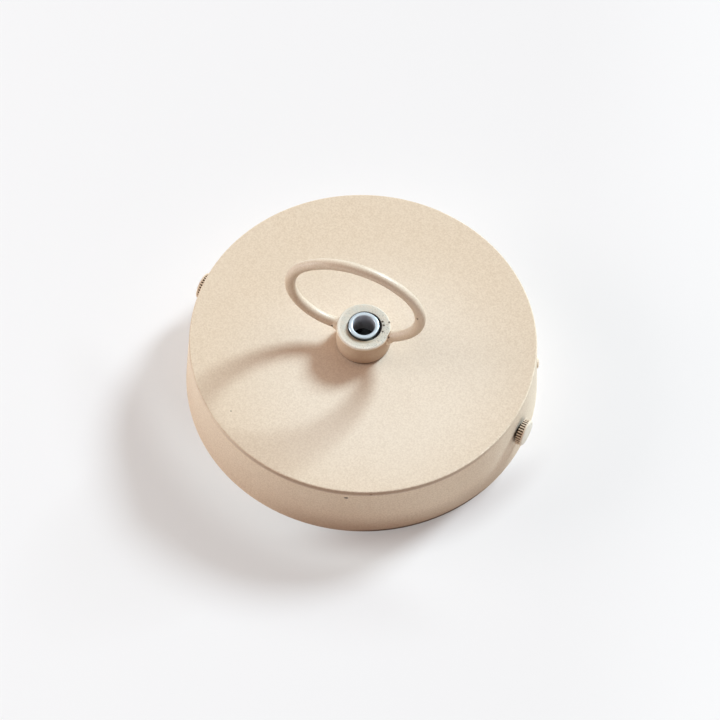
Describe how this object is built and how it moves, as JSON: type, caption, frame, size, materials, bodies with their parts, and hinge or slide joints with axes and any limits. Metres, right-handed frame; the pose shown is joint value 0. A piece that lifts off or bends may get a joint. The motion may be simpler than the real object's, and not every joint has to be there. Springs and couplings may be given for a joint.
{
  "type": "ceiling rose with hanging ring",
  "caption": "Round shallow metal ceiling rose with a wire hanging ring on a threaded collar, a hollow cable nipple, knurled side screws and a ceiling strap with terminals inside.",
  "frame": {"origin": "centre of the cup's open rim, in the plane of the ceiling that the rim meets", "axes": "+Z along the cup's axis out of its closed face towards the hanging ring, +X along the axis of the side screws towards the right-hand one"},
  "size_m": [0.1258, 0.12, 0.0705],
  "materials": {
    "sand_coat": "fine-textured matte powder coat in sand",
    "zinc_steel": "bright bluish zinc plate",
    "brass": "plain turned brass",
    "white_plastic": "moulded natural white"
  },
  "bodies": {
    "rose": {"cup": "sand_coat", "nipple": "zinc_steel", "lock_washer": "zinc_steel", "lock_nut": "zinc_steel", "bracket": "zinc_steel", "earth_washer": "brass", "earth_screw": "brass", "terminal_housing": "white_plastic", "terminal_sleeve_1": "brass", "terminal_sleeve_2": "brass", "terminal_sleeve_3": "brass", "terminal_screw_1": "zinc_steel", "terminal_screw_2": "zinc_steel", "terminal_screw_3": "zinc_steel", "terminal_screw_4": "zinc_steel", "terminal_screw_5": "zinc_steel", "terminal_screw_6": "zinc_steel", "fixing_screw_1": "zinc_steel", "fixing_screw_2": "zinc_steel"},
    "loop": {"loop_collar": "sand_coat", "loop_ring": "sand_coat"},
    "right_screw": {"thumbscrew_right": "sand_coat"},
    "left_screw": {"thumbscrew_left": "sand_coat"}
  },
  "joints": [
    {"name": "loop_turn", "type": "hinge", "parent": "rose", "child": "loop", "pos_m": [0, 0, 0.0292], "axis": [0, 0, 1], "continuous": true},
    {"name": "right_screw_out", "type": "slide", "parent": "rose", "child": "right_screw", "axis": [1, 0, 0], "range_m": [0, 0.005]},
    {"name": "left_screw_out", "type": "slide", "parent": "rose", "child": "left_screw", "axis": [-1, 0, 0], "range_m": [0, 0.005]}
  ]
}
